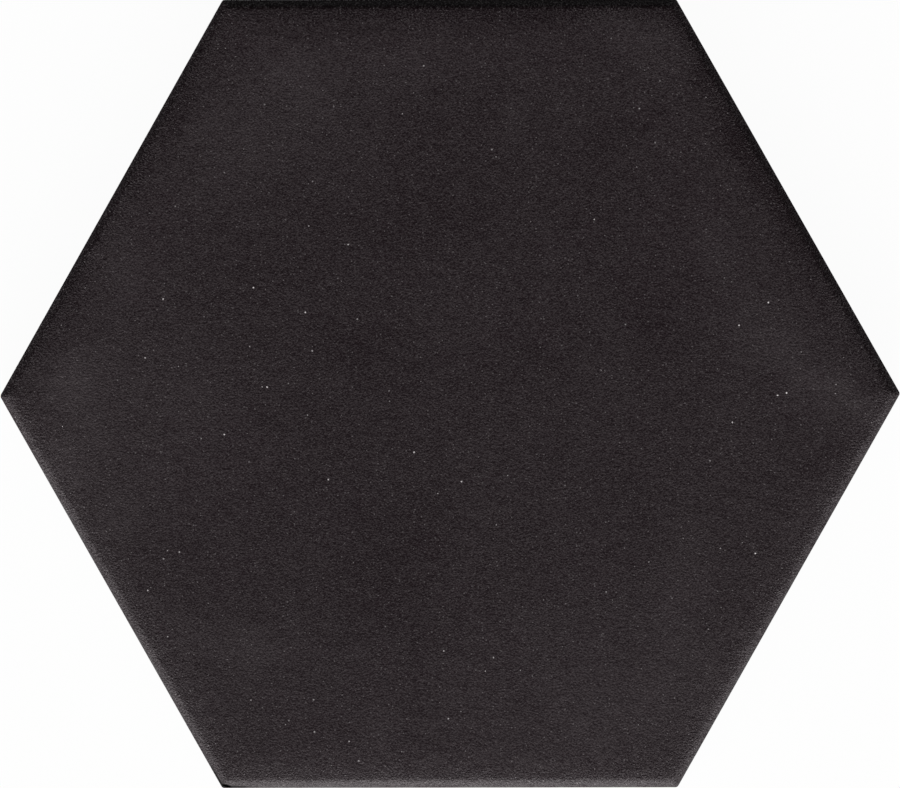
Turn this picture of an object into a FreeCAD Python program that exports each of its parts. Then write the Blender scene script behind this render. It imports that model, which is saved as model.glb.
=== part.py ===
import FreeCAD, Part
import math
import os

# A pressed and glazed hexagon floor tile, lying on its back: millimetres and degrees
# X runs corner to corner, Y flat to flat, and Z out of the glazed face

# Overall size
across_corners = 200.0
across_flats = 175.0
thickness = 9.0

# Sides, which narrow towards the glazed face
side_draft = 1.0
corner_radius = 0.8
back_bevel = 0.8

# Cushion edge, from the arris inwards: a plain bevel, a shoulder and a long roll into the flat face
arris_radius = 0.4
bevel_width = 1.1
bevel_slope = 27.0
shoulder_radius = 3.6
shoulder_end_slope = 5.0
roll_radius = 80.0

# Keyed back: a grid of ribs around shallow square cells, inside a plain border
border_width = 7.0
key_depth = 0.6
key_pitch = 14.0
rib_width = 2.5
key_wall_slope = 30.0
smallest_cell_share = 0.3

# Outline, with all six sides of one length
half_corners = across_corners / 2
half_flats = across_flats / 2
side_length = 2 / 3 * (math.sqrt(4 * half_corners**2 + 3 * half_flats**2) - half_corners)
slant = math.atan2(half_corners - side_length / 2, half_flats)
half_slants = half_corners * math.cos(slant)

# Each pair of opposite sides: the way one of them faces, and its distance from the middle
side_pairs = [
    (math.degrees(slant), half_slants),
    (90.0, half_flats),
    (180.0 - math.degrees(slant), half_slants),
]
middle = FreeCAD.Vector(0, 0, 0)
upright = FreeCAD.Vector(0, 0, 1)
bar_length = 2 * across_corners


def tangent(angle):
    return math.tan(math.radians(angle))


def point(u, z):
    """A point of a cross-section: u outwards from the middle, z up."""
    return FreeCAD.Vector(u, 0, z)


def side_at(half_width, z):
    """Where a drafted side is at a height, from its distance at the top of the back bevel."""
    return half_width - (z - back_bevel) * tangent(side_draft)


def straights(corners):
    return [Part.makeLine(start, end) for start, end in zip(corners, corners[1:])]


def flattening_arc(start, radius, slope, end_slope):
    """An arc going inwards from a point on the edge's slope, and the point where it ends."""

    def from_centre(angle):
        return point(radius * math.sin(math.radians(angle)), radius * math.cos(math.radians(angle)))

    centre = start - from_centre(slope)
    halfway = centre + from_centre((slope + end_slope) / 2)
    end = centre + from_centre(end_slope)
    return Part.Arc(start, halfway, end).toShape(), end


def bar(half_section, base, crown):
    """A bar whose right half-section is a chain of edges from its base point up to its crown."""
    mirrored = [edge.mirror(middle, FreeCAD.Vector(1, 0, 0)) for edge in half_section]
    across = straights([point(-base.x, base.z), base]) + straights([point(-crown.x, crown.z), crown])
    outline = Part.Wire(Part.sortEdges(half_section + mirrored + across)[0])
    solid = Part.Face(outline).extrude(FreeCAD.Vector(0, bar_length, 0))
    solid.translate(FreeCAD.Vector(0, -bar_length / 2, 0))
    return solid


def plain_bar(base, crown):
    return bar(straights([base, crown]), base, crown)


def crossed(bars):
    """The hexagon that three bars have in common, each turned to face its pair of sides."""
    turned = [b.rotate(middle, upright, facing) for b, (facing, _) in zip(bars, side_pairs)]
    return turned[0].common(turned[1]).common(turned[2])


def cushion_bar(half_width):
    """The tile's whole section between two opposite sides, with the arris rounded off."""
    drop = (
        bevel_width * tangent(bevel_slope)
        + shoulder_radius
        * (math.cos(math.radians(shoulder_end_slope)) - math.cos(math.radians(bevel_slope)))
        + roll_radius * (1 - math.cos(math.radians(shoulder_end_slope)))
    )
    base = point(half_width - back_bevel, 0)
    widest = point(half_width, back_bevel)
    arris = point(side_at(half_width, thickness - drop), thickness - drop)
    bevel_end = arris + point(-bevel_width, bevel_width * tangent(bevel_slope))
    shoulder, shoulder_end = flattening_arc(
        bevel_end, shoulder_radius, bevel_slope, shoulder_end_slope
    )
    roll, crown = flattening_arc(shoulder_end, roll_radius, shoulder_end_slope, 0)
    solid = bar(straights([base, widest, arris, bevel_end]) + [shoulder, roll], base, crown)
    arrises = [
        edge
        for edge in solid.Edges
        if all(abs(v.Z - arris.z) < 1e-6 for v in edge.Vertexes) and edge.Length > across_corners
    ]
    return solid.makeFillet(arris_radius, arrises)


def pressed_block():
    """The tile's drafted sides with its six upright corners rounded, and square edges."""
    block = crossed(
        [
            plain_bar(point(side_at(half, 0), 0), point(side_at(half, thickness), thickness))
            for _, half in side_pairs
        ]
    )
    corners = [edge for edge in block.Edges if abs(edge.tangentAt(edge.FirstParameter).z) > 0.5]
    return block.makeFillet(corner_radius, corners)


def key_cells():
    """The shallow cells pressed into the back, without the slivers along the border."""
    lean = key_depth * tangent(key_wall_slope)
    field = crossed(
        [
            plain_bar(
                point(half - border_width, 0), point(half - border_width - lean, key_depth)
            )
            for _, half in side_pairs
        ]
    )
    rib = plain_bar(point(rib_width / 2, 0), point(rib_width / 2 + lean, key_depth))
    rows = math.ceil(half_corners / key_pitch)
    ribs = []
    for row in range(-rows, rows + 1):
        along_y = rib.translated(FreeCAD.Vector(row * key_pitch, 0, 0))
        ribs += [along_y, along_y.rotated(middle, upright, 90)]
    cells = field.cut(ribs).Solids
    full_cell = max(cell.Volume for cell in cells)
    return [cell for cell in cells if cell.Volume > smallest_cell_share * full_cell]


tile = crossed([cushion_bar(half) for _, half in side_pairs]).common(pressed_block())
tile = tile.cut(key_cells())

os.makedirs("parts", exist_ok=True)
tile.Solids[0].exportStep("parts/hexagon_tile.step")
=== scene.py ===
import math

import bmesh
import bpy
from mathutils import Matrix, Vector


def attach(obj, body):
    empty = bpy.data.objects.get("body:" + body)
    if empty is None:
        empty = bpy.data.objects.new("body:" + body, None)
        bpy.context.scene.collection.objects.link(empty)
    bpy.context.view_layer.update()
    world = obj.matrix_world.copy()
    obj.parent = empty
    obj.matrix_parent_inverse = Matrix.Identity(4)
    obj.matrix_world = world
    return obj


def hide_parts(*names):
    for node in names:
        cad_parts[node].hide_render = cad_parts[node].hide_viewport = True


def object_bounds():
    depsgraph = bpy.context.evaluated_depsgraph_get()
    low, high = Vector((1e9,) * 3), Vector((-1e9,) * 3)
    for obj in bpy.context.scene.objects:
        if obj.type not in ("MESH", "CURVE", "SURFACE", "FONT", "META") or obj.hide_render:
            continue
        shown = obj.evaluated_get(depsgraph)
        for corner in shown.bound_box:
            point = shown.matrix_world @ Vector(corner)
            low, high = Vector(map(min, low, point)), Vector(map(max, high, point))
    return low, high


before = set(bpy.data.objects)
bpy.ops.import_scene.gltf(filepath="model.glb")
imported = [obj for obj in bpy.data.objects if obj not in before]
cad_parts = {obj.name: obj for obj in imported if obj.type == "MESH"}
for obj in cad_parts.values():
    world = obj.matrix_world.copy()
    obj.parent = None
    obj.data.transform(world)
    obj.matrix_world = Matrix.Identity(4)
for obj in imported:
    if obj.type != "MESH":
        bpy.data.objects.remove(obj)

cad_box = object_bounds()
MM = 0.001

# The tile as it was pressed. The outline and thickness come from the frame's box.
CORNER_RADIUS = 0.8 * MM
CORNER_STEPS = 8
BACK_BEVEL = 0.8 * MM
BACK_BEVEL_WEAR = 0.15 * MM
SIDE_DRAFT = math.radians(1.0)
ARRIS_RADIUS = 0.4 * MM
BEVEL_WIDTH = 1.1 * MM
BEVEL_SLOPE = math.radians(27.0)
SHOULDER_RADIUS = 3.6 * MM
SHOULDER_END_SLOPE = math.radians(5.0)
ROLL_RADIUS = 80.0 * MM
ARRIS_STEPS = 8
SHOULDER_STEPS = 8
ROLL_STEPS = 10
LEVEL_MARGIN = 1.0 * MM
SMALLEST_STEP = 0.005 * MM
SMOOTH_BELOW = math.radians(35)
HALF_FLATS = cad_box[1].y
THICKNESS = cad_box[1].z

# The keyed back
BORDER_WIDTH = 7.0 * MM
KEY_DEPTH = 0.6 * MM
KEY_PITCH = 14.0 * MM
RIB_WIDTH = 2.5 * MM
KEY_WALL_SLOPE = math.radians(30.0)
SMALLEST_CELL_SHARE = 0.3
KEY_EDGE_RADIUS = 0.15 * MM
KEY_EDGE_STEPS = 2
KEY_EDGE_SHARPER_THAN = math.radians(20)
LEVEL_TOLERANCE = 0.01 * MM

# Shares of the border: where its cuts start, and what counts as inside that, loosely and strictly
CUT_START = 0.55
PAST_CUT_START = 0.6
WELL_PAST_CUT_START = 0.7

# How far this tile's corners left the true hexagon as it dried and was fired, along X and Y
LEFT_CORNER_SHIFT = (0.08 * MM, -0.42 * MM, 0)
RIGHT_CORNER_SHIFT = (-0.09 * MM, -0.17 * MM, 0)
LOWER_LEFT_CORNER_SHIFT = (-0.38 * MM, 0, 0)

# A flake knocked off the arris beside the lower left corner: its middle, from that corner, and its
# half sizes
FLAKE_FROM_CORNER = (1.12 * MM, 0.57 * MM, 8.0 * MM)
FLAKE_HALF_SIZES = (1.22 * MM, 0.3 * MM, 0.8 * MM)
FLAKE_TURN = math.radians(-17)
FLAKE_ROUGHNESS = 0.05 * MM

# The glaze around it is gone as well, from the first to the second of these times its half sizes
FLAKE_HALO = (1.2, 1.35)

# Where the glaze ends on the sides, how far its line wanders and over what length, and half its
# soft edge
GLAZE_LINE = 6.0 * MM
GLAZE_WANDER = 1.6 * MM
GLAZE_WANDER_SIZE = 7 * MM
GLAZE_LINE_SOFTNESS = 0.2 * MM

# Beside the flake it stops short of the bevel: how far round, and how much higher
BARE_CORNER_REACH = 8 * MM
BARE_CORNER_CLIMB = 2.2 * MM

# The arris there is bruised as well and painted near black, darker than the body, which is partly
# painted shade: how far along it and down the side, the share of that in which it is full, how
# ragged its outline is and over what length, and its top and the top's soft edge
BRUISE_AND_SHADE_HALF_SIZES = (7.5 * MM, 7.5 * MM, 1.3 * MM)
BRUISE_AND_SHADE_FULL = 0.55
BRUISE_AND_SHADE_RAGGEDNESS = 0.9
BRUISE_AND_SHADE_RAG_SIZE = 1.2 * MM
BRUISE_AND_SHADE_TOP = 8.0 * MM
BRUISE_AND_SHADE_TOP_SOFTNESS = 0.03 * MM


def outline_sizes():
    """The side's length, half the distance between sharp corners, and the slanted sides' slant."""
    corner_half_angle = math.radians(60)
    rounds_to_settle = 20
    for _ in range(rounds_to_settle):
        trimmed = CORNER_RADIUS * (1 / math.sin(corner_half_angle) - 1)
        half_corners = cad_box[1].x + trimmed
        side = 2 / 3 * (math.sqrt(4 * half_corners**2 + 3 * HALF_FLATS**2) - half_corners)
        slant = math.atan2(half_corners - side / 2, HALF_FLATS)
        corner_half_angle = math.pi / 2 - slant
    return side, half_corners, slant


SIDE, HALF_CORNERS, SLANT = outline_sizes()
FLAKE_MIDDLE = (
    Vector((-SIDE / 2, -HALF_FLATS, 0))
    + Vector(LOWER_LEFT_CORNER_SHIFT)
    + Vector(FLAKE_FROM_CORNER)
)


def colour(hex_code):
    """An sRGB hex colour as linear RGBA."""
    parts = [int(hex_code[i : i + 2], 16) / 255 for i in (1, 3, 5)]
    return [p / 12.92 if p <= 0.04045 else ((p + 0.055) / 1.055) ** 2.4 for p in parts] + [1]


# Modelling helpers
def choose(piece):
    """Select one piece, and nothing else."""
    bpy.ops.object.select_all(action="DESELECT")
    piece.select_set(True)
    bpy.context.view_layer.objects.active = piece


def edit(piece, mode):
    """Open one piece in edit mode, picking by vertex, edge or face."""
    choose(piece)
    bpy.ops.object.mode_set(mode="EDIT")
    bpy.ops.mesh.select_mode(type=mode)
    bpy.ops.mesh.select_all(action="DESELECT")


def pick(piece, kind, wanted):
    """Select the vertices, edges or faces that a test accepts, and nothing else."""
    mesh = bmesh.from_edit_mesh(piece.data)
    bpy.ops.mesh.select_all(action="DESELECT")
    for element in getattr(mesh, kind):
        element.select_set(wanted(element))
    bmesh.update_edit_mesh(piece.data)


def add_primitive(operator, name, **settings):
    bpy.ops.object.select_all(action="DESELECT")
    operator(**settings)
    piece = bpy.context.object
    piece.name = name
    piece.data.name = name
    return piece


def edge_rings():
    """Half the distance between flats, and the height, ring by ring from the bed upwards."""
    drop = (
        BEVEL_WIDTH * math.tan(BEVEL_SLOPE)
        + SHOULDER_RADIUS * (math.cos(SHOULDER_END_SLOPE) - math.cos(BEVEL_SLOPE))
        + ROLL_RADIUS * (1 - math.cos(SHOULDER_END_SLOPE))
    )
    arris_z = THICKNESS - drop
    arris = HALF_FLATS - (arris_z - BACK_BEVEL) * math.tan(SIDE_DRAFT)

    # the sides, with the back bevel's two edges worn round
    wear = BACK_BEVEL_WEAR
    rings = [
        (HALF_FLATS - BACK_BEVEL - wear, 0),
        (HALF_FLATS - BACK_BEVEL + 0.3 * wear, 0.3 * wear),
        (HALF_FLATS - 1.2 * wear, BACK_BEVEL - 1.2 * wear),
        (HALF_FLATS - 0.2 * wear, BACK_BEVEL - 0.1 * wear),
        (HALF_FLATS - 0.1 * wear, BACK_BEVEL + wear),
    ]

    # the arris, an arc that runs from the side's draft to the bevel's slope
    def turn(radius, slope):
        return Vector((radius * math.sin(slope), radius * math.cos(slope)))

    side_slope = math.pi / 2 - SIDE_DRAFT
    half_turn = (side_slope - BEVEL_SLOPE) / 2
    setback = ARRIS_RADIUS * math.tan(half_turn)
    arris_start = Vector(
        (arris + setback * math.sin(SIDE_DRAFT), arris_z - setback * math.cos(SIDE_DRAFT))
    )

    # the shoulder takes over where the bevel ends, and the roll where the shoulder ends
    bevel_end = Vector((arris - BEVEL_WIDTH, arris_z + BEVEL_WIDTH * math.tan(BEVEL_SLOPE)))
    shoulder_end = (
        bevel_end
        - turn(SHOULDER_RADIUS, BEVEL_SLOPE)
        + turn(SHOULDER_RADIUS, SHOULDER_END_SLOPE)
    )
    for start, radius, slope, end_slope, steps in (
        (arris_start, ARRIS_RADIUS, side_slope, BEVEL_SLOPE, ARRIS_STEPS),
        (bevel_end, SHOULDER_RADIUS, BEVEL_SLOPE, SHOULDER_END_SLOPE, SHOULDER_STEPS),
        (shoulder_end, ROLL_RADIUS, SHOULDER_END_SLOPE, 0, ROLL_STEPS),
    ):
        centre = start - turn(radius, slope)
        rings += [
            tuple(centre + turn(radius, slope + (end_slope - slope) * i / steps))
            for i in range(steps + 1)
        ]

    # one more ring inside the flat face keeps its shading level, and no two rings coincide
    last_half, last_z = rings[-1]
    rings.append((last_half - LEVEL_MARGIN, last_z))
    kept = rings[:1]
    for ring in rings[1:]:
        if math.dist(ring, kept[-1]) > SMALLEST_STEP:
            kept.append(ring)
    return kept


def press_blank():
    """The tile's outline, pulled up ring by ring through its sides and its cushion edge."""
    tile = add_primitive(
        bpy.ops.mesh.primitive_circle_add,
        "hexagon_tile_glazed",
        vertices=6,
        radius=HALF_CORNERS,
        fill_type="NGON",
        location=(0, 0, 0),
    )
    edit(tile, "VERT")
    bpy.ops.mesh.select_all(action="SELECT")
    bpy.ops.transform.rotate(value=math.pi / 6, orient_axis="Z", center_override=(0, 0, 0))
    regular_half_flats = HALF_CORNERS * math.cos(math.pi / 6)
    bpy.ops.transform.resize(
        value=(1, HALF_FLATS / regular_half_flats, 1), center_override=(0, 0, 0)
    )
    pick(tile, "verts", lambda v: abs(v.co.y) > MM)
    bpy.ops.transform.resize(value=(SIDE / HALF_CORNERS, 1, 1), center_override=(0, 0, 0))
    for corner, shift in (
        ((-HALF_CORNERS, 0, 0), LEFT_CORNER_SHIFT),
        ((HALF_CORNERS, 0, 0), RIGHT_CORNER_SHIFT),
        ((-SIDE / 2, -HALF_FLATS, 0), LOWER_LEFT_CORNER_SHIFT),
    ):
        pick(tile, "verts", lambda v: (v.co - Vector(corner)).length < MM)
        bpy.ops.transform.translate(value=shift)
    bpy.ops.mesh.select_all(action="SELECT")
    bpy.ops.mesh.bevel(
        offset=CORNER_RADIUS * math.tan(SLANT),
        segments=CORNER_STEPS,
        profile=0.5,
        affect="VERTICES",
    )

    rings = edge_rings()
    bpy.ops.mesh.select_mode(type="FACE")
    bpy.ops.mesh.select_all(action="SELECT")
    half, z = rings[0]
    start = half / HALF_FLATS
    bpy.ops.transform.resize(value=(start, start, 1), center_override=(0, 0, 0))
    for next_half, next_z in rings[1:]:
        share = next_half / half
        bpy.ops.mesh.extrude_region_move(
            TRANSFORM_OT_translate={"value": (0, 0, next_z - z)}
        )
        bpy.ops.transform.resize(value=(share, share, 1), center_override=(0, 0, 0))
        half, z = next_half, next_z
    bpy.ops.mesh.select_all(action="SELECT")
    bpy.ops.mesh.normals_make_consistent(inside=False)
    bpy.ops.object.mode_set(mode="OBJECT")
    return tile


def side_distances(x, y):
    """How far a point lies inside each of the three pairs of sides."""
    half_slants = HALF_CORNERS * math.cos(SLANT)
    across = [
        abs(x * math.cos(SLANT) + y * math.sin(SLANT)),
        abs(-x * math.cos(SLANT) + y * math.sin(SLANT)),
    ]
    return [half_slants - across[0], half_slants - across[1], HALF_FLATS - abs(y)]


def key_back(tile):
    """The cells of the back: its face is cut along every rib and the border, and the cells sunk."""
    edit(tile, "FACE")

    def on_bed(face):
        return face.normal.z < -0.9 and abs(face.calc_center_median().z) < LEVEL_TOLERANCE

    def in_field(face):
        centre = face.calc_center_median()
        inside = min(side_distances(centre.x, centre.y)) > BORDER_WIDTH * PAST_CUT_START
        return on_bed(face) and inside

    # a plain ring first, so that the cuts stop short of the outline
    pick(tile, "faces", on_bed)
    ring = 1 - BORDER_WIDTH * CUT_START / HALF_FLATS
    bpy.ops.mesh.extrude_region_move(TRANSFORM_OT_translate={"value": (0, 0, 0)})
    bpy.ops.transform.resize(value=(ring, ring, 1), center_override=(0, 0, 0))

    def cut(point, normal):
        pick(tile, "faces", in_field)
        bpy.ops.mesh.bisect(plane_co=point, plane_no=normal)

    half_slants = HALF_CORNERS * math.cos(SLANT)
    for facing, half in (
        (SLANT, half_slants),
        (math.pi / 2, HALF_FLATS),
        (math.pi - SLANT, half_slants),
    ):
        for side in (-1, 1):
            out = Vector((side * math.cos(facing), side * math.sin(facing), 0))
            cut(out * (half - BORDER_WIDTH), out)
    columns = math.ceil(HALF_CORNERS / KEY_PITCH)
    for column in range(-columns, columns + 1):
        for edge in (-RIB_WIDTH / 2, RIB_WIDTH / 2):
            place = column * KEY_PITCH + edge
            if abs(place) < HALF_CORNERS - BORDER_WIDTH:
                cut((place, 0, 0), (1, 0, 0))
            if abs(place) < HALF_FLATS - BORDER_WIDTH:
                cut((0, place, 0), (0, 1, 0))

    full_cell = (KEY_PITCH - RIB_WIDTH) ** 2

    def is_cell(face):
        centre = face.calc_center_median()
        clear_of_ribs = all(
            abs(c / KEY_PITCH - round(c / KEY_PITCH)) * KEY_PITCH > RIB_WIDTH / 2
            for c in (centre.x, centre.y)
        )
        return (
            on_bed(face)
            and clear_of_ribs
            and min(side_distances(centre.x, centre.y)) > BORDER_WIDTH
            and face.calc_area() > SMALLEST_CELL_SHARE * full_cell
        )

    pick(tile, "faces", is_cell)
    bpy.ops.mesh.inset(
        thickness=KEY_DEPTH * math.tan(KEY_WALL_SLOPE), depth=-KEY_DEPTH, use_individual=True
    )

    # the die's edges, round the mouth and the floor of each cell
    def cell_edge(edge):
        low = all(v.co.z < KEY_DEPTH + LEVEL_TOLERANCE for v in edge.verts)
        inside = all(
            min(side_distances(v.co.x, v.co.y)) > BORDER_WIDTH * WELL_PAST_CUT_START
            for v in edge.verts
        )
        sharp = edge.calc_face_angle(0) > KEY_EDGE_SHARPER_THAN
        return low and inside and len(edge.link_faces) == 2 and sharp

    bpy.ops.mesh.select_mode(type="EDGE")
    pick(tile, "edges", cell_edge)
    bpy.ops.mesh.bevel(offset=KEY_EDGE_RADIUS, segments=KEY_EDGE_STEPS, affect="EDGES")
    bpy.ops.object.mode_set(mode="OBJECT")


def knock_flake_off(tile):
    """The dark flake missing from the arris beside the lower left corner, cut as a rough lens."""
    flake = add_primitive(
        bpy.ops.mesh.primitive_ico_sphere_add,
        "flake",
        subdivisions=3,
        radius=1.0,
        location=FLAKE_MIDDLE,
    )
    edit(flake, "VERT")
    bpy.ops.mesh.select_all(action="SELECT")
    bpy.ops.transform.resize(value=FLAKE_HALF_SIZES, center_override=FLAKE_MIDDLE)
    # without a window this operator turns the other way, so the angle is negated
    bpy.ops.transform.rotate(value=-FLAKE_TURN, orient_axis="Z", center_override=FLAKE_MIDDLE)
    bpy.ops.transform.vertex_random(offset=FLAKE_ROUGHNESS, uniform=1.0, seed=4)
    bpy.ops.object.mode_set(mode="OBJECT")

    choose(tile)
    bpy.ops.object.modifier_add(type="BOOLEAN")
    cut = tile.modifiers[-1]
    cut.operation = "DIFFERENCE"
    cut.solver = "EXACT"
    cut.object = flake
    bpy.ops.object.modifier_apply(modifier=cut.name)
    bpy.data.objects.remove(flake)


def smooth(piece):
    choose(piece)
    bpy.ops.object.shade_smooth_by_angle(angle=SMOOTH_BELOW)


# Materials
def add(tree, kind, settings=None, out=0, **links):
    """Add a node and give its output: settings by attribute, inputs by name or number."""
    node = tree.nodes.new(kind)
    for name, value in (settings or {}).items():
        setattr(node, name, value)
    for name, value in links.items():
        numbered = name[0] == "i" and name[1:].isdigit()
        socket = node.inputs[int(name[1:]) if numbered else name.replace("_", " ")]
        if isinstance(value, bpy.types.NodeSocket):
            tree.links.new(value, socket)
        else:
            socket.default_value = value
    return node.outputs[out] if len(node.outputs) else node


def new_material(name):
    material = bpy.data.materials.new(name)
    material.use_nodes = True
    material.node_tree.nodes.clear()
    return material, material.node_tree


SMOOTHSTEP = {"interpolation_type": "SMOOTHSTEP"}
COLOURS = {"data_type": "RGBA"}
SUM = {"operation": "ADD"}
PRODUCT = {"operation": "MULTIPLY"}
MORE = {"operation": "MAXIMUM"}
LENGTH = {"operation": "LENGTH"}

# Fired colours: dark glass and its pale crystals, thin glaze, near-white specks, the body's dark
# and pale grain, the kiln wash and the near-black break, darker than the body as painted shade
DARK_GLASS = "#0d0005"
PALE_CRYSTALS = "#393335"
THIN_GLAZE = "#4b4a4a"
WHITE_GRAIN = "#d2cccd"
DARK_BODY = "#262324"
PALE_BODY = "#3b3738"
KILN_WASH = "#b5b0a8"
BREAK_WITH_PAINTED_SHADE = "#0c0909"
CERAMIC_IOR = 1.5

# Paler and darker clouds in the coat, with painted shade along the three upper sides, placed beside
# a
# blurred view of the photo: the middle of each in millimetres, its half length and half width, the
# degrees it is turned by, and how much paler it is
CLOUDS_AND_PAINTED_SHADE = (
    (-85, 3, 13, 9, 20, 0.28),
    (-82, -10, 18, 10, -55, 0.20),
    (-72, 28, 16, 9, 65, 0.13),
    (-64, -2, 36, 28, 90, 0.12),
    (-32, 68, 21, 9, -40, 0.15),
    (-46, 58, 34, 17, 45, 0.13),
    (-10, 73, 36, 10, 0, 0.11),
    (16, 59, 11, 4, -60, 0.13),
    (42, 80, 18, 10, -35, 0.18),
    (57, 33, 16, 8, -65, 0.18),
    (72, 10, 21, 10, -60, 0.18),
    (84, -1, 15, 9, -40, 0.21),
    (28, 24, 24, 2.5, -55, 0.06),
    (-43, -57, 17, 7, -15, 0.19),
    (38, -70, 38, 16, 10, 0.14),
    (52, -44, 28, 8, 80, 0.11),
    (-71, -26, 12, 9, 40, 0.10),
    (-60, -53, 15, 7, -40, 0.10),
    (-15, -72, 9, 6, 0, 0.09),
    (57, -58, 7, 9, 0, 0.12),
    (89, -3, 11, 7, -20, 0.12),
    (-33, 53, 26, 16, 0, 0.07),
    (33, -55, 28, 18, 10, 0.08),
    (-21, 11, 18, 9, -10, -0.10),
    (-8, 38, 26, 9, 8, -0.07),
    (38, 58, 18, 8, 30, -0.10),
    (45, 15, 18, 8, -60, -0.10),
    (21, 9, 14, 6, -20, -0.07),
    (32, -18, 22, 9, -25, -0.06),
    (-14, -36, 32, 22, 60, -0.07),
    (-7, -60, 22, 5, 88, -0.07),
    (82, -17, 7, 6, 0, -0.12),
    # painted shade: dark bands along the upper right, upper left and top sides, away from the lamp
    (74, 43, 85, 6, -60, -0.34),
    (-74, 43, 85, 6, 60, -0.20),
    (2, 87, 60, 7, 0, -0.12),
)
CLOUD_WARP = 9 * MM
WARP_SIZE = 18 * MM

# How pale the coat is on the whole and how much paler towards its edges
MEAN_PALENESS = 0.30
MARGIN_PALENESS = 0.06
MARGIN_START = 45 * MM
MARGIN_END = 90 * MM

# Its finer changes, as size, detail and contrast, and the roughness of their noise
PATCHES = (20 * MM, 5.0, 0.24)
MOTTLES = (4.5 * MM, 2.5, 0.22)
GRAIN = (0.38 * MM, 2.0, 2.15)
NOISE_ROUGHNESS = 0.6

# The coat dried coarser on the edge's slopes: between which heights, and how many times as coarse
SLOPE_TOP = 8.97 * MM
SLOPE_FOOT = 8.6 * MM
SLOPE_COARSENESS = 1.6

# The slopes that fall away to the top, away from the lamp, are painted darker as painted shade,
# with
# coarser pale crystals, and made glassier: over which shares of their normal along Y that sets in,
# their contrast, how much darker they are painted and how rough
GLASSY_AND_SHADED_FACING = (0.05, 0.42)
GLASSY_CONTRAST = 10.0
GLASSY_PAINTED_SHADE_DROP = 0.5
GLASSY_ROUGHNESS = 0.3

# No crystal is more times as pale as the glaze's pale colour than this
PALEST = 4.0


def coat_paleness(tree, place, coarseness, glassy_and_painted_shade):
    """The share of pale crystals in the glaze, from place to place, less where shade is painted."""
    swirl = add(
        tree, "ShaderNodeTexNoise", out="Color", Vector=place, Scale=1 / WARP_SIZE, Detail=4.0
    )
    warped = add(
        tree,
        "ShaderNodeVectorMath",
        {"operation": "MULTIPLY_ADD"},
        i0=swirl,
        i1=(2 * CLOUD_WARP, 2 * CLOUD_WARP, 0),
        i2=place,
    )
    centred = add(
        tree, "ShaderNodeVectorMath", SUM, i0=warped, i1=(-CLOUD_WARP, -CLOUD_WARP, 0)
    )
    flat = add(tree, "ShaderNodeVectorMath", PRODUCT, i0=centred, i1=(1, 1, 0))

    from_middle = add(tree, "ShaderNodeVectorMath", LENGTH, out="Value", i0=flat)
    changes = [
        add(
            tree,
            "ShaderNodeMapRange",
            SMOOTHSTEP,
            Value=from_middle,
            From_Min=MARGIN_START,
            From_Max=MARGIN_END,
            To_Max=MARGIN_PALENESS,
        )
    ]
    for x, y, half_length, half_width, turned, change in CLOUDS_AND_PAINTED_SHADE:
        from_cloud = add(
            tree,
            "ShaderNodeMapping",
            {"vector_type": "TEXTURE"},
            Vector=flat,
            Location=(x * MM, y * MM, 0),
            Rotation=(0, 0, math.radians(turned)),
            Scale=(half_length * MM, half_width * MM, 1),
        )
        away = add(tree, "ShaderNodeVectorMath", LENGTH, out="Value", i0=from_cloud)
        changes.append(
            add(
                tree,
                "ShaderNodeMapRange",
                SMOOTHSTEP,
                Value=away,
                From_Min=1.0,
                From_Max=0.0,
                To_Max=change,
            )
        )
    for size, detail, contrast in (PATCHES, MOTTLES, GRAIN):
        fleck = add(
            tree,
            "ShaderNodeTexNoise",
            Vector=place,
            Scale=1 / size,
            Detail=detail,
            Roughness=NOISE_ROUGHNESS,
        )
        fleck = add(
            tree,
            "ShaderNodeMapRange",
            {"clamp": False},
            Value=fleck,
            To_Min=-contrast / 2,
            To_Max=contrast / 2,
        )
        changes.append(add(tree, "ShaderNodeMath", PRODUCT, i0=fleck, i1=coarseness))

    # the last of them, the grain, stands out in the glassy slopes, painted darker there as painted
    # shade
    crystals_and_painted_shade = add(
        tree,
        "ShaderNodeMath",
        {"operation": "MULTIPLY_ADD"},
        i0=fleck,
        i1=GLASSY_CONTRAST / GRAIN[2],
        i2=-GLASSY_PAINTED_SHADE_DROP,
    )
    changes.append(add(tree, "ShaderNodeMath", PRODUCT, i0=crystals_and_painted_shade, i1=glassy_and_painted_shade))

    paleness = MEAN_PALENESS
    for change in changes:
        paleness = add(tree, "ShaderNodeMath", SUM, i0=paleness, i1=change)
    return add(tree, "ShaderNodeMapRange", Value=paleness, From_Max=PALEST, To_Max=PALEST)


# Pin specks, as spacing, radius, the share of them that show and the strength of the plainest
SPECKS = (
    (5.0 * MM, 0.24 * MM, 0.35, 0.45),
    (2.6 * MM, 0.16 * MM, 0.4, 0.5),
    (0.8 * MM, 0.17 * MM, 0.7, 0.13),
)

# A speck is at full strength within this share of its radius
SPECK_CORE = 0.6

# The brightest specks, by strength: millimetres from the middle, judged in the photo
BRIGHT_SPECKS = (
    (
        0.9,
        (
            (-63.5, 21),
            (-43.5, 23.5),
            (-32, 18),
            (-40.5, 1.5),
            (-50, -9),
            (-27, -19),
            (-8, -13),
            (2.5, -19.5),
            (64, 15),
            (70.5, 20),
            (62.5, -6.5),
            (72.5, -0.5),
            (74.5, 0),
            (67.5, -35.5),
        ),
    ),
    (
        0.45,
        (
            (-67.5, 8),
            (-30.5, 9.5),
            (-20.5, 16.5),
            (-22.5, 33),
            (32, 38.5),
            (42, 63),
            (45.5, 55.5),
            (57.5, -15),
            (-67, -43.5),
            (-63.5, -36.5),
            (-60, -35),
            (-22.5, -77),
            (-1.5, -57),
            (-0.5, -72),
            (9.5, -58.5),
        ),
    ),
)
BRIGHT_SPECK_RADIUS = 0.21 * MM

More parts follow.
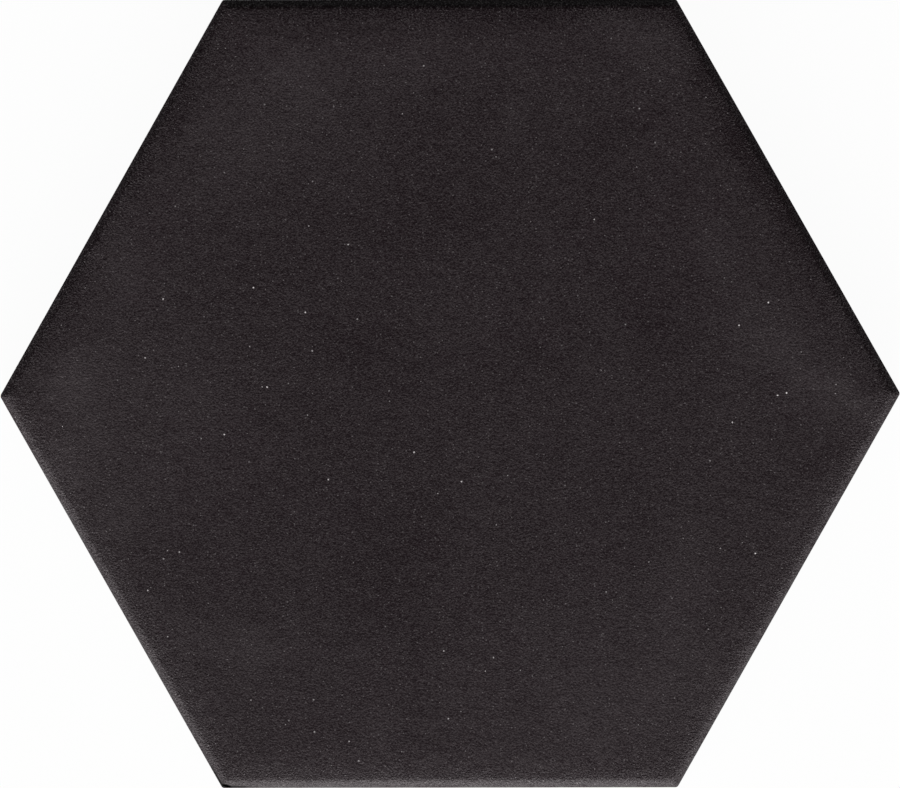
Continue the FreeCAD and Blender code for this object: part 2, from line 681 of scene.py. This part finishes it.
# Relief of the glaze in millimetres: its grain, and the ripples that the sprayed coat dried in
GRAIN_HEIGHT = 0.145
RIPPLE_SIZE = 3.2 * MM
RIPPLE_HEIGHT = 0.10

# Where the glaze thinned over the arris; more on the lower, lit sides, which is painted sheen
THIN_FROM = 8.15 * MM
THIN_TO = 7.9 * MM
THINNING_AND_PAINTED_SHEEN = (0.05, 0.4)
THINNING_AND_PAINTED_SHEEN_FROM = 15 * MM
THINNING_AND_PAINTED_SHEEN_TO = -25 * MM

# The thin glaze is broken up: the size of its breaks, and the part of their noise over which it
# comes and goes
BREAK_SIZE = 5 * MM
BREAK_EDGES = (0.35, 0.65)
GLAZE_ROUGHNESS = 0.52
THIN_ROUGHNESS = 0.72
GLAZE_SPECULAR = 0.22

# At a grazing look its crystals hide one another, so that it stays dull: over which shares of
# grazing that sets in, and how rough it is then
GRAZING = (0.15, 0.6)
GRAZING_ROUGHNESS = 1.0


def glaze_finish(tree, place, height):
    """Sprayed matt glaze: near-black glass full of fine pale crystals, grainy and hardly glossy."""
    coarseness = add(
        tree,
        "ShaderNodeMapRange",
        Value=height,
        From_Min=SLOPE_TOP,
        From_Max=SLOPE_FOOT,
        To_Min=1.0,
        To_Max=SLOPE_COARSENESS,
    )
    facing = add(tree, "ShaderNodeTexCoord", out="Normal")
    # the slopes facing the top: glassier, and painted darker as painted shade
    glassy_and_painted_shade = add(
        tree,
        "ShaderNodeMapRange",
        Value=add(tree, "ShaderNodeSeparateXYZ", out="Y", Vector=facing),
        From_Min=GLASSY_AND_SHADED_FACING[0],
        From_Max=GLASSY_AND_SHADED_FACING[1],
    )
    glaze = add(
        tree,
        "ShaderNodeMix",
        {"data_type": "RGBA", "clamp_factor": False},
        out=2,
        i0=coat_paleness(tree, place, coarseness, glassy_and_painted_shade),
        i6=colour(DARK_GLASS),
        i7=colour(PALE_CRYSTALS),
    )

    # over the arris the glaze is thin, and the greyer body shows through in places; towards the
    # lower, lit sides more of it is painted, as painted sheen
    breaks = add(tree, "ShaderNodeTexNoise", Vector=place, Scale=1 / BREAK_SIZE, Detail=3.0)
    roughness = add(
        tree, "ShaderNodeMapRange", Value=glassy_and_painted_shade, To_Min=GLAZE_ROUGHNESS, To_Max=GLASSY_ROUGHNESS
    )
    roughness = add(
        tree,
        "ShaderNodeMapRange",
        Value=height,
        From_Min=THIN_FROM,
        From_Max=THIN_TO,
        To_Min=roughness,
        To_Max=THIN_ROUGHNESS,
    )
    roughness = add(
        tree,
        "ShaderNodeMapRange",
        Value=add(tree, "ShaderNodeLayerWeight", out="Facing"),
        From_Min=GRAZING[0],
        From_Max=GRAZING[1],
        To_Min=roughness,
        To_Max=GRAZING_ROUGHNESS,
    )
    on_arris = add(tree, "ShaderNodeMapRange", Value=height, From_Min=THIN_FROM, From_Max=THIN_TO)
    # towards the lower sides, which face the lamp, the thin glaze grows: painted sheen
    thinning_and_painted_sheen = add(
        tree,
        "ShaderNodeMapRange",
        Value=add(tree, "ShaderNodeSeparateXYZ", out="Y", Vector=place),
        From_Min=THINNING_AND_PAINTED_SHEEN_FROM,
        From_Max=THINNING_AND_PAINTED_SHEEN_TO,
        To_Min=THINNING_AND_PAINTED_SHEEN[0],
        To_Max=THINNING_AND_PAINTED_SHEEN[1],
    )
    broken_up = add(
        tree,
        "ShaderNodeMapRange",
        Value=breaks,
        From_Min=BREAK_EDGES[0],
        From_Max=BREAK_EDGES[1],
    )
    thin_and_painted_sheen = add(tree, "ShaderNodeMath", PRODUCT, i0=on_arris, i1=thinning_and_painted_sheen)
    thin_and_painted_sheen = add(tree, "ShaderNodeMath", PRODUCT, i0=thin_and_painted_sheen, i1=broken_up)
    glaze = add(tree, "ShaderNodeMix", COLOURS, out=2, i0=thin_and_painted_sheen, i6=glaze, i7=colour(THIN_GLAZE))

    # pin specks: near-white dots in the glaze, few of them bright
    strengths = []
    for spacing, radius, shown, peak in SPECKS:
        distance = add(
            tree, "ShaderNodeTexVoronoi", out="Distance", Vector=place, Scale=1 / spacing
        )
        lot = add(tree, "ShaderNodeSeparateColor", Color=distance.node.outputs["Color"])
        inside = add(
            tree,
            "ShaderNodeMapRange",
            Value=distance,
            From_Min=radius / spacing,
            From_Max=SPECK_CORE * radius / spacing,
        )
        strength = add(
            tree, "ShaderNodeMapRange", Value=lot, From_Min=1 - shown, From_Max=1.0, To_Max=peak
        )
        strengths.append(add(tree, "ShaderNodeMath", PRODUCT, i0=strength, i1=inside))
    on_face = add(tree, "ShaderNodeVectorMath", PRODUCT, i0=place, i1=(1, 1, 0))
    bright = [((x * MM, y * MM, 0), peak) for peak, places in BRIGHT_SPECKS for x, y in places]
    for middle, peak in bright:
        distance = add(
            tree,
            "ShaderNodeVectorMath",
            {"operation": "DISTANCE"},
            out="Value",
            i0=on_face,
            i1=middle,
        )
        strengths.append(
            add(
                tree,
                "ShaderNodeMapRange",
                Value=distance,
                From_Min=BRIGHT_SPECK_RADIUS,
                From_Max=SPECK_CORE * BRIGHT_SPECK_RADIUS,
                To_Max=peak,
            )
        )
    speck = strengths[0]
    for strength in strengths[1:]:
        speck = add(tree, "ShaderNodeMath", MORE, i0=speck, i1=strength)
    glaze = add(tree, "ShaderNodeMix", COLOURS, out=2, i0=speck, i6=glaze, i7=colour(WHITE_GRAIN))

    size, detail, _ = GRAIN
    grain = add(
        tree,
        "ShaderNodeTexNoise",
        Vector=place,
        Scale=1 / size,
        Detail=detail,
        Roughness=NOISE_ROUGHNESS,
    )
    ripple = add(tree, "ShaderNodeTexNoise", Vector=place, Scale=1 / RIPPLE_SIZE, Detail=2.0)
    relief = add(
        tree,
        "ShaderNodeMath",
        {"operation": "MULTIPLY_ADD"},
        i0=ripple,
        i1=RIPPLE_HEIGHT,
        i2=add(tree, "ShaderNodeMath", PRODUCT, i0=grain, i1=GRAIN_HEIGHT),
    )
    relief = add(tree, "ShaderNodeMath", PRODUCT, i0=relief, i1=coarseness)
    relief = add(tree, "ShaderNodeBump", Height=relief, Strength=1.0, Distance=MM)
    return add(
        tree,
        "ShaderNodeBsdfPrincipled",
        Base_Color=glaze,
        Roughness=roughness,
        IOR=CERAMIC_IOR,
        Specular_IOR_Level=GLAZE_SPECULAR,
        Normal=relief,
    )


# The body's grain: its size, the part of its noise that goes from dark to pale, and how high it
# stands
BODY_GRAIN_SIZE = 0.6 * MM
BODY_GRAIN_EDGES = (0.3, 0.7)
BODY_GRAIN_HEIGHT = 0.08 * MM
BODY_ROUGHNESS = 0.9
BODY_SPECULAR = 0.2

# The kiln wash on the ribs: up to which height it fades, and the size and edges of its streaks
WASH_FULL_BELOW = 0.02 * MM
WASH_GONE_ABOVE = 0.25 * MM
WASH_STREAK_SIZE = 9 * MM
WASH_STREAK_EDGES = (0.42, 0.62)


def body_finish(tree, place, height, broken_with_painted_shade):
    """Pressed stoneware, dark all through: dry and grainy, with white wash on the back's ribs and
    near-black breaks, darker than the body as painted shade.
    """
    grain = add(
        tree,
        "ShaderNodeTexNoise",
        Vector=place,
        Scale=1 / BODY_GRAIN_SIZE,
        Detail=3.0,
        Roughness=0.65,
    )
    body = add(
        tree,
        "ShaderNodeMix",
        COLOURS,
        out=2,
        i0=add(
            tree,
            "ShaderNodeMapRange",
            Value=grain,
            From_Min=BODY_GRAIN_EDGES[0],
            From_Max=BODY_GRAIN_EDGES[1],
        ),
        i6=colour(DARK_BODY),
        i7=colour(PALE_BODY),
    )
    streaks = add(
        tree,
        "ShaderNodeTexNoise",
        Vector=place,
        Scale=1 / WASH_STREAK_SIZE,
        Detail=5.0,
        Roughness=0.7,
    )
    wash = add(
        tree,
        "ShaderNodeMath",
        PRODUCT,
        i0=add(
            tree,
            "ShaderNodeMapRange",
            Value=height,
            From_Min=WASH_GONE_ABOVE,
            From_Max=WASH_FULL_BELOW,
        ),
        i1=add(
            tree,
            "ShaderNodeMapRange",
            Value=streaks,
            From_Min=WASH_STREAK_EDGES[0],
            From_Max=WASH_STREAK_EDGES[1],
        ),
    )
    body = add(tree, "ShaderNodeMix", COLOURS, out=2, i0=wash, i6=body, i7=colour(KILN_WASH))
    # breaks: the dark body, painted darker still as painted shade
    body = add(tree, "ShaderNodeMix", COLOURS, out=2, i0=broken_with_painted_shade, i6=body, i7=colour(BREAK_WITH_PAINTED_SHADE))
    relief = add(tree, "ShaderNodeBump", Height=grain, Strength=0.5, Distance=BODY_GRAIN_HEIGHT)
    return add(
        tree,
        "ShaderNodeBsdfPrincipled",
        Base_Color=body,
        Roughness=BODY_ROUGHNESS,
        IOR=CERAMIC_IOR,
        Specular_IOR_Level=BODY_SPECULAR,
        Normal=relief,
    )


def fired_tile():
    """Matt glaze fired onto stoneware: the glaze stops along a wandering line on the sides."""
    material, tree = new_material("matt_glaze_on_stoneware")
    place = add(tree, "ShaderNodeTexCoord", out="Object")
    height = add(tree, "ShaderNodeSeparateXYZ", out="Z", Vector=place)

    # broken ground, near black, darker than the body as painted shade: the flake with a little
    # round it, and the ragged bruise on the arris
    from_flake = add(
        tree,
        "ShaderNodeMapping",
        {"vector_type": "TEXTURE"},
        Vector=place,
        Location=FLAKE_MIDDLE,
        Rotation=(0, 0, FLAKE_TURN),
        Scale=FLAKE_HALF_SIZES,
    )
    in_flake = add(
        tree,
        "ShaderNodeMapRange",
        Value=add(tree, "ShaderNodeVectorMath", LENGTH, out="Value", i0=from_flake),
        From_Min=FLAKE_HALO[1],
        From_Max=FLAKE_HALO[0],
    )
    from_bruise_and_shade = add(
        tree,
        "ShaderNodeMapping",
        {"vector_type": "TEXTURE"},
        Vector=place,
        Location=FLAKE_MIDDLE,
        Scale=BRUISE_AND_SHADE_HALF_SIZES,
    )
    ragged = add(
        tree,
        "ShaderNodeTexNoise",
        Vector=place,
        Scale=1 / BRUISE_AND_SHADE_RAG_SIZE,
        Detail=3.0,
        Roughness=NOISE_ROUGHNESS,
    )
    ragged = add(
        tree,
        "ShaderNodeMapRange",
        Value=ragged,
        To_Min=-BRUISE_AND_SHADE_RAGGEDNESS / 2,
        To_Max=BRUISE_AND_SHADE_RAGGEDNESS / 2,
    )
    from_bruise_and_shade = add(tree, "ShaderNodeVectorMath", LENGTH, out="Value", i0=from_bruise_and_shade)
    bruised_and_shaded = add(
        tree,
        "ShaderNodeMath",
        PRODUCT,
        i0=add(
            tree,
            "ShaderNodeMapRange",
            SMOOTHSTEP,
            Value=add(tree, "ShaderNodeMath", SUM, i0=from_bruise_and_shade, i1=ragged),
            From_Min=1.0,
            From_Max=BRUISE_AND_SHADE_FULL,
        ),
        i1=add(
            tree,
            "ShaderNodeMapRange",
            Value=height,
            From_Min=BRUISE_AND_SHADE_TOP + BRUISE_AND_SHADE_TOP_SOFTNESS,
            From_Max=BRUISE_AND_SHADE_TOP - BRUISE_AND_SHADE_TOP_SOFTNESS,
        ),
    )
    broken_with_painted_shade = add(tree, "ShaderNodeMath", MORE, i0=in_flake, i1=bruised_and_shaded)

    # the line wanders, and climbs over the arris beside the flake
    wander = add(
        tree,
        "ShaderNodeTexNoise",
        Vector=place,
        Scale=1 / GLAZE_WANDER_SIZE,
        Detail=4.0,
        Roughness=NOISE_ROUGHNESS,
    )
    wander = add(
        tree,
        "ShaderNodeMapRange",
        {"clamp": False},
        Value=wander,
        To_Min=GLAZE_LINE - GLAZE_WANDER,
        To_Max=GLAZE_LINE + GLAZE_WANDER,
    )
    from_corner = add(
        tree,
        "ShaderNodeVectorMath",
        {"operation": "DISTANCE"},
        out="Value",
        i0=place,
        i1=FLAKE_MIDDLE,
    )
    bare_corner = add(
        tree,
        "ShaderNodeMapRange",
        SMOOTHSTEP,
        Value=from_corner,
        From_Min=BARE_CORNER_REACH,
        From_Max=0.0,
        To_Max=BARE_CORNER_CLIMB,
    )
    line = add(tree, "ShaderNodeMath", SUM, i0=wander, i1=bare_corner)
    above_line = add(tree, "ShaderNodeMath", {"operation": "SUBTRACT"}, i0=height, i1=line)
    glazed = add(
        tree,
        "ShaderNodeMapRange",
        Value=above_line,
        From_Min=-GLAZE_LINE_SOFTNESS,
        From_Max=GLAZE_LINE_SOFTNESS,
    )
    glazed = add(
        tree,
        "ShaderNodeMath",
        {"operation": "SUBTRACT", "use_clamp": True},
        i0=glazed,
        i1=broken_with_painted_shade,
    )
    surface = add(
        tree,
        "ShaderNodeMixShader",
        i0=glazed,
        i1=body_finish(tree, place, height, broken_with_painted_shade),
        i2=glaze_finish(tree, place, height),
    )
    add(tree, "ShaderNodeOutputMaterial", Surface=surface)
    return material


# The floor: its size and colour, and how much of what the camera sees of it is plain white
FLOOR_SIZE = 12.0
BOARD = "#d8d8d8"
SEEN_WHITE = 0.96


def floor_material():
    """Matt white board, brightened where it is seen, so it stays white round a faint shadow."""
    material, tree = new_material("white_board")
    seen = add(tree, "ShaderNodeLightPath", out="Is Camera Ray")
    for ray in ("Is Glossy Ray", "Is Transmission Ray"):
        other = add(tree, "ShaderNodeLightPath", out=ray)
        seen = add(tree, "ShaderNodeMath", MORE, i0=seen, i1=other)
    surface = add(
        tree,
        "ShaderNodeMixShader",
        i0=add(tree, "ShaderNodeMath", PRODUCT, i0=seen, i1=SEEN_WHITE),
        i1=add(tree, "ShaderNodeBsdfDiffuse", Color=colour(BOARD)),
        i2=add(tree, "ShaderNodeEmission", Color=(1, 1, 1, 1), Strength=1.0),
    )
    add(tree, "ShaderNodeOutputMaterial", Surface=surface)
    return material


def lay_floor():
    floor = add_primitive(
        bpy.ops.mesh.primitive_plane_add, "floor", size=FLOOR_SIZE, location=(0, 0, 0)
    )
    floor.data.materials.append(floor_material())


# Light and camera: a wide low softbox beyond the photo's lower edge, and a faint white room
KEY_ELEVATION = math.radians(16)
KEY_TO_LEFT = math.radians(6)
KEY_DISTANCE = 2.8
KEY_WIDTH = 8.0
KEY_HEIGHT = 1.3
KEY_POWER = 525.0
AMBIENT = 0.1
LENS = 200.0
SENSOR = 36.0
FRAME_WIDTH_PX = 900
FRAME_HEIGHT_PX = 788

# Where the photo has the middle of the tile, and how many pixels its upper arris is wide
MIDDLE_PX = (450.1, 393.5)
ARRIS_WIDTH_PX = 901.0
TURN_IN_PHOTO = math.radians(0.1)


def light_room():
    aim = Vector(
        (
            -math.sin(KEY_TO_LEFT) * math.cos(KEY_ELEVATION),
            -math.cos(KEY_TO_LEFT) * math.cos(KEY_ELEVATION),
            math.sin(KEY_ELEVATION),
        )
    )
    bpy.ops.object.light_add(type="AREA", location=aim * KEY_DISTANCE)
    key = bpy.context.object
    key.name = "key_softbox"
    key.rotation_euler = (-aim).to_track_quat("-Z", "Y").to_euler()
    key.data.shape = "RECTANGLE"
    key.data.size = KEY_WIDTH
    key.data.size_y = KEY_HEIGHT
    key.data.energy = KEY_POWER
    world = bpy.data.worlds.new("studio")
    world.use_nodes = True
    world.node_tree.nodes["Background"].inputs["Color"].default_value = (1, 1, 1, 1)
    world.node_tree.nodes["Background"].inputs["Strength"].default_value = AMBIENT
    bpy.context.scene.world = world


def place_camera():
    """Straight above the middle, framed so that the arris falls on the photo's outline."""
    arris_half, arris_z = max(
        (ring for ring in edge_rings() if ring[1] > THICKNESS / 2), key=lambda ring: ring[0]
    )
    arris_width = 2 * HALF_CORNERS * arris_half / HALF_FLATS
    px = arris_width / ARRIS_WIDTH_PX
    distance = FRAME_WIDTH_PX * px * LENS / SENSOR
    x = (FRAME_WIDTH_PX / 2 - MIDDLE_PX[0]) * px
    y = (MIDDLE_PX[1] - FRAME_HEIGHT_PX / 2) * px
    bpy.ops.object.camera_add(
        location=(x, y, arris_z + distance), rotation=(0, 0, -TURN_IN_PHOTO)
    )
    camera = bpy.context.object
    camera.data.lens = LENS
    camera.data.sensor_width = SENSOR
    bpy.context.scene.camera = camera


tile = press_blank()
key_back(tile)
knock_flake_off(tile)
smooth(tile)
tile.data.materials.append(fired_tile())
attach(tile, "root")
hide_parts("hexagon_tile")
lay_floor()
light_room()
place_camera()
bpy.context.scene.view_settings.view_transform = "Standard"
